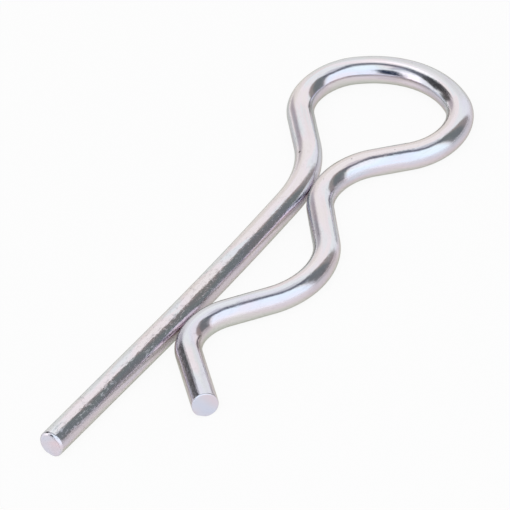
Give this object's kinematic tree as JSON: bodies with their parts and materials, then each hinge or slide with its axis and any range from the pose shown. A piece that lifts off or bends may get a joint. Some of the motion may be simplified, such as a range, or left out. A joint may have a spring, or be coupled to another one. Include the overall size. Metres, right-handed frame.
{
  "type": "hitch r clip pin",
  "caption": "R-shaped retaining clip bent from one length of round spring wire: a straight leg, a rounded bow and a wavy leg that grips round a shaft.",
  "frame": {"origin": "middle of the clip's box in X and Y, on the surface it lies on; the wire's axis is 2 mm above that all along", "axes": "the straight leg points to -X and its first 25 mm are parallel to X, the bow is at the +X end, the wavy leg is on the -Y side, and +Z is square to the plane that the wire is bent in"},
  "size_m": [0.0906, 0.0322, 0.004],
  "materials": {
    "zinc_plated_wire": "bright zinc plate with a faintly iridescent clear passivate, over smooth drawn spring steel wire"
  },
  "bodies": {
    "root": {"clip_wire": "zinc_plated_wire"}
  },
  "joints": []
}
